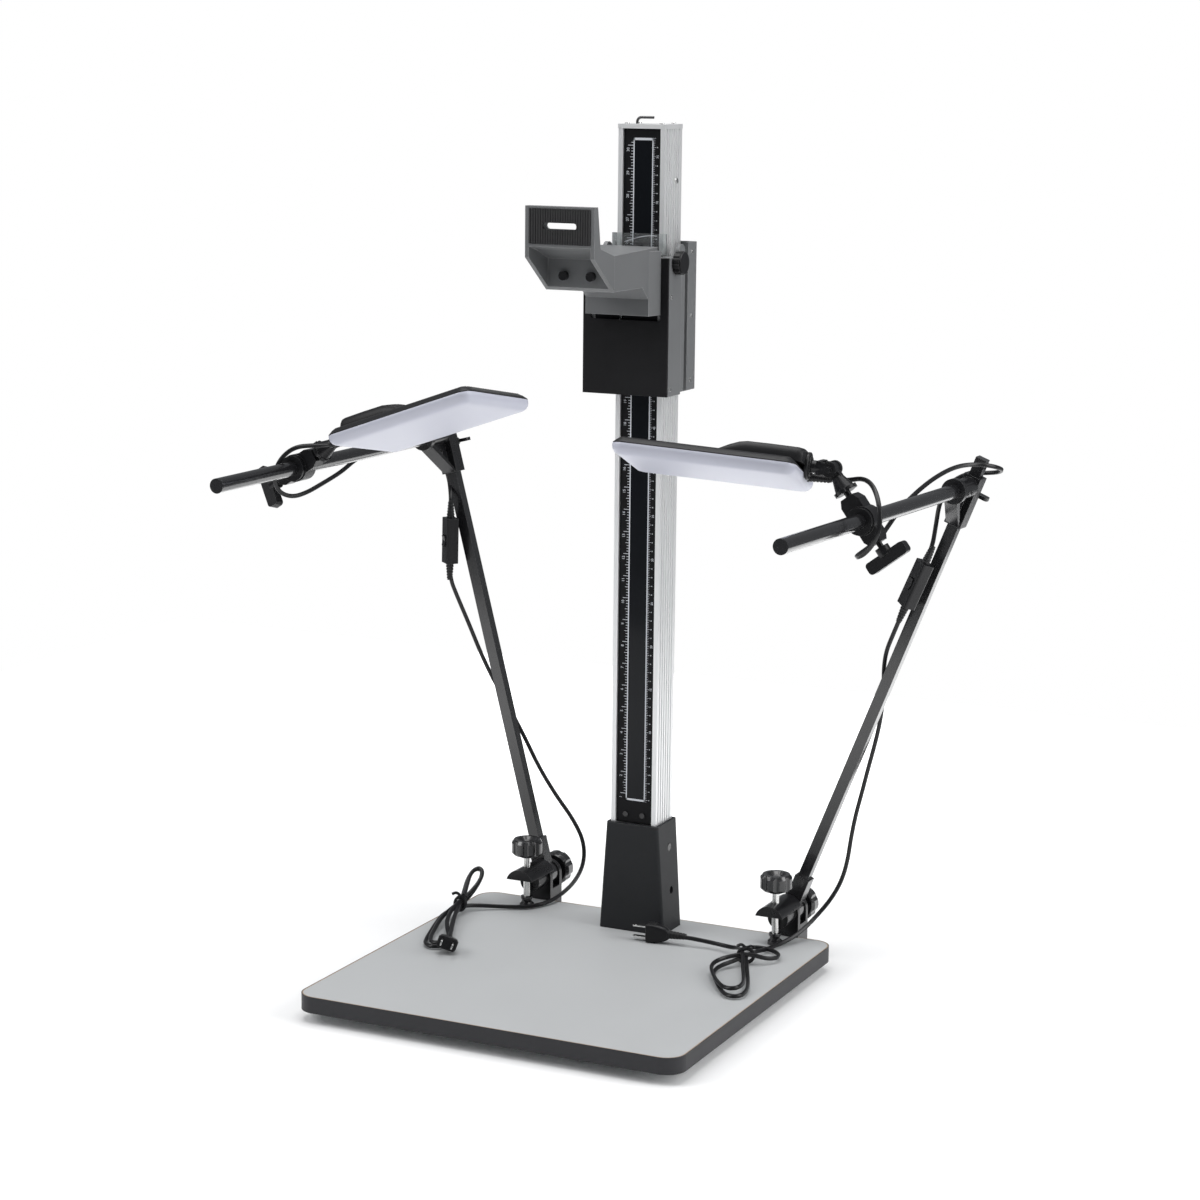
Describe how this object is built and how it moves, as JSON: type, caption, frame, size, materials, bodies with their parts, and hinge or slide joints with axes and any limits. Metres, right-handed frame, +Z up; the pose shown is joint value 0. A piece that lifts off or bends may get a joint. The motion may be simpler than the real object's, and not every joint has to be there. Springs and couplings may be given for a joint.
{
  "type": "copy stand",
  "caption": "Copy stand: grey board, graduated column with sliding camera carriage, and panel lights on clamp-on swing arms with their flexes.",
  "frame": {"origin": "middle of the baseboard's top face, the surface that a document lies on; the rubber feet end 30 mm below it", "axes": "+Z up along the column, +Y towards the column at the back, +X to the right as seen from the front"},
  "size_m": [0.7475, 0.5541, 0.9605],
  "materials": {
    "laminate_top": "matte grey laminate on board",
    "edge_dark": "dark edge band",
    "rubber_black": "matte rubber",
    "column_silver": "anodised extrusion",
    "scale_black": "black printed plate with white marks",
    "cast_charcoal": "textured powder coat",
    "cast_grey": "grey satin casting",
    "steel_bright": "zinc plated",
    "steel_black": "gloss black enamel",
    "cast_black": "satin black",
    "plastic_black": "fine textured moulding",
    "light_body": "black ribbed housing",
    "light_tray": "frosted white diffuser",
    "led_white": "white board",
    "clear": "clear plate with index line",
    "flex_black": "soft flex sheath"
  },
  "bodies": {
    "stand": {"baseboard": "laminate_top", "edge_band": "edge_dark", "rubber_feet": "rubber_black", "column": "column_silver", "scale_plate": "scale_black", "column_cap": "column_silver", "column_foot": "cast_charcoal", "hex_key": "steel_black", "stand_screws": "steel_bright", "arm_clamps": "cast_black", "supply_flex_left": "flex_black", "flex_hank_left": "flex_black", "plug_left": "plastic_black", "supply_flex_right": "flex_black", "flex_hank_right": "flex_black", "plug_right": "plastic_black"},
    "carriage": {"carriage_body": "cast_grey", "front_plate": "cast_charcoal", "rear_channel": "cast_grey", "glide_pads": "plastic_black", "neck": "cast_grey", "camera_bracket": "cast_grey", "camera_pad": "rubber_black", "cursor": "clear", "carriage_screws": "steel_bright"},
    "knob": {"drive_knob": "plastic_black"},
    "clamp_screw_left": {"clamp_screw_left": "steel_bright"},
    "pivot_knob_left": {"pivot_knob_left": "plastic_black"},
    "arm_left": {"arm_left": "steel_black"},
    "bracket_left": {"rod_bracket_left": "cast_black", "rod_left": "steel_black", "light_flex_left": "flex_black", "switch_left": "plastic_black"},
    "wing_screw_left": {"wing_screw_left": "cast_black"},
    "rocker_left": {"rocker_left": "plastic_black"},
    "collar_left": {"rod_collar_left": "plastic_black"},
    "lamp_clamp_left": {"lamp_clamp_left": "plastic_black"},
    "handle_left": {"clamp_handle_left": "plastic_black"},
    "swivel_base_left": {"swivel_base_left": "plastic_black"},
    "swivel_head_left": {"swivel_head_left": "plastic_black"},
    "light_left": {"lamp_housing_left": "light_body", "led_board_left": "led_white", "diffuser_left": "light_tray"},
    "clamp_screw_right": {"clamp_screw_right": "steel_bright"},
    "pivot_knob_right": {"pivot_knob_right": "plastic_black"},
    "arm_right": {"arm_right": "steel_black"},
    "bracket_right": {"rod_bracket_right": "cast_black", "rod_right": "steel_black", "light_flex_right": "flex_black", "switch_right": "plastic_black"},
    "wing_screw_right": {"wing_screw_right": "cast_black"},
    "rocker_right": {"rocker_right": "plastic_black"},
    "collar_right": {"rod_collar_right": "plastic_black"},
    "lamp_clamp_right": {"lamp_clamp_right": "plastic_black"},
    "handle_right": {"clamp_handle_right": "plastic_black"},
    "swivel_base_right": {"swivel_base_right": "plastic_black"},
    "swivel_head_right": {"swivel_head_right": "plastic_black"},
    "light_right": {"lamp_housing_right": "light_body", "led_board_right": "led_white", "diffuser_right": "light_tray"}
  },
  "joints": [
    {"name": "carriage_slide", "type": "slide", "parent": "stand", "child": "carriage", "axis": [0, 0, 1], "range_m": [-0.49, 0.078]},
    {"name": "knob_turn", "type": "hinge", "parent": "carriage", "child": "knob", "pos_m": [0, 0.1394, 0.773], "axis": [1, 0, 0], "range_deg": [-250, 1565]},
    {"name": "clamp_screw_left_lift", "type": "slide", "parent": "stand", "child": "clamp_screw_left", "axis": [0, 0, 1], "range_m": [0, 0.01]},
    {"name": "pivot_knob_left_turn", "type": "hinge", "parent": "stand", "child": "pivot_knob_left", "pos_m": [-0.152, 0.232, 0.028], "axis": [0, 1, 0], "range_deg": [-180, 180]},
    {"name": "arm_left_swing", "type": "hinge", "parent": "stand", "child": "arm_left", "pos_m": [-0.152, 0.232, 0.028], "axis": [0, 1, 0], "range_deg": [-45, 5], "deforming": ["supply_flex_left"]},
    {"name": "bracket_left_slide", "type": "slide", "parent": "arm_left", "child": "bracket_left", "axis": [-0.2521, 0, 0.9677], "range_m": [-0.25, 0.015]},
    {"name": "wing_screw_left_turn", "type": "hinge", "parent": "bracket_left", "child": "wing_screw_left", "pos_m": [-0.2856, 0.247, 0.54089], "axis": [0, 1, 0], "range_deg": [-180, 180]},
    {"name": "rocker_left_press", "type": "hinge", "parent": "bracket_left", "child": "rocker_left", "pos_m": [-0.27409, 0.20932, 0.42805], "axis": [0.7659, -0.6428, -0.0134], "range_deg": [-5, 5]},
    {"name": "collar_left_slide", "type": "slide", "parent": "bracket_left", "child": "collar_left", "axis": [0, 1, 0], "range_m": [-0.12, 0.1]},
    {"name": "lamp_clamp_left_turn", "type": "hinge", "parent": "collar_left", "child": "lamp_clamp_left", "pos_m": [-0.28862, -0.0976, 0.5525], "axis": [0, 1, 0], "range_deg": [-25, 25], "deforming": ["light_flex_left"]},
    {"name": "handle_left_turn", "type": "hinge", "parent": "lamp_clamp_left", "child": "handle_left", "pos_m": [-0.28862, -0.0976, 0.5525], "axis": [0.8358, 0, 0.549], "range_deg": [-180, 180]},
    {"name": "swivel_base_left_turn", "type": "hinge", "parent": "lamp_clamp_left", "child": "swivel_base_left", "pos_m": [-0.28862, -0.0976, 0.5525], "axis": [0.8358, 0, 0.549], "range_deg": [-60, 60]},
    {"name": "swivel_head_left_tilt", "type": "hinge", "parent": "swivel_base_left", "child": "swivel_head_left", "pos_m": [-0.23764, -0.0976, 0.58599], "axis": [0, 1, 0], "range_deg": [-30, 30]},
    {"name": "light_left_roll", "type": "hinge", "parent": "swivel_head_left", "child": "light_left", "pos_m": [-0.23764, -0.0976, 0.58599], "axis": [0.9417, -0.0907, 0.3239], "range_deg": [-90, 90]},
    {"name": "clamp_screw_right_lift", "type": "slide", "parent": "stand", "child": "clamp_screw_right", "axis": [0, 0, 1], "range_m": [0, 0.01]},
    {"name": "pivot_knob_right_turn", "type": "hinge", "parent": "stand", "child": "pivot_knob_right", "pos_m": [0.1665, 0.232, 0.028], "axis": [0, 1, 0], "range_deg": [-180, 180]},
    {"name": "arm_right_swing", "type": "hinge", "parent": "stand", "child": "arm_right", "pos_m": [0.1665, 0.232, 0.028], "axis": [0, 1, 0], "range_deg": [-10, 40], "deforming": ["supply_flex_right"]},
    {"name": "bracket_right_slide", "type": "slide", "parent": "arm_right", "child": "bracket_right", "axis": [0.3655, 0, 0.9308], "range_m": [-0.25, 0.015]},
    {"name": "wing_screw_right_turn", "type": "hinge", "parent": "bracket_right", "child": "wing_screw_right", "pos_m": [0.36257, 0.24699, 0.52578], "axis": [0.0341, 0.9993, -0.0134], "range_deg": [-180, 180]},
    {"name": "rocker_right_press", "type": "hinge", "parent": "bracket_right", "child": "rocker_right", "pos_m": [0.31116, 0.20532, 0.42821], "axis": [0.7051, -0.6428, -0.2993], "range_deg": [-5, 5]},
    {"name": "collar_right_slide", "type": "slide", "parent": "bracket_right", "child": "collar_right", "axis": [0.0341, 0.9993, -0.0134], "range_m": [-0.12, 0.1]},
    {"name": "lamp_clamp_right_turn", "type": "hinge", "parent": "collar_right", "child": "lamp_clamp_right", "pos_m": [0.35599, -0.07419, 0.54125], "axis": [0.0341, 0.9993, -0.0134], "range_deg": [-25, 25], "deforming": ["light_flex_right"]},
    {"name": "handle_right_turn", "type": "hinge", "parent": "lamp_clamp_right", "child": "handle_right", "pos_m": [0.35599, -0.07419, 0.54125], "axis": [-0.5993, 0.0312, 0.7999], "range_deg": [-180, 180]},
    {"name": "swivel_base_right_turn", "type": "hinge", "parent": "lamp_clamp_right", "child": "swivel_base_right", "pos_m": [0.35599, -0.07419, 0.54125], "axis": [-0.5993, 0.0312, 0.7999], "range_deg": [-60, 60]},
    {"name": "swivel_head_right_tilt", "type": "hinge", "parent": "swivel_base_right", "child": "swivel_head_right", "pos_m": [0.31943, -0.07229, 0.59005], "axis": [0.0341, 0.9993, -0.0134], "range_deg": [-30, 30]},
    {"name": "light_right_roll", "type": "hinge", "parent": "swivel_head_right", "child": "light_right", "pos_m": [0.31943, -0.07229, 0.59005], "axis": [-0.9838, -0.1646, 0.0715], "range_deg": [-90, 90]}
  ],
  "couplings": [
    {"joint": "knob_turn", "follows": "carriage_slide", "rad_per_m": -55.556}
  ]
}
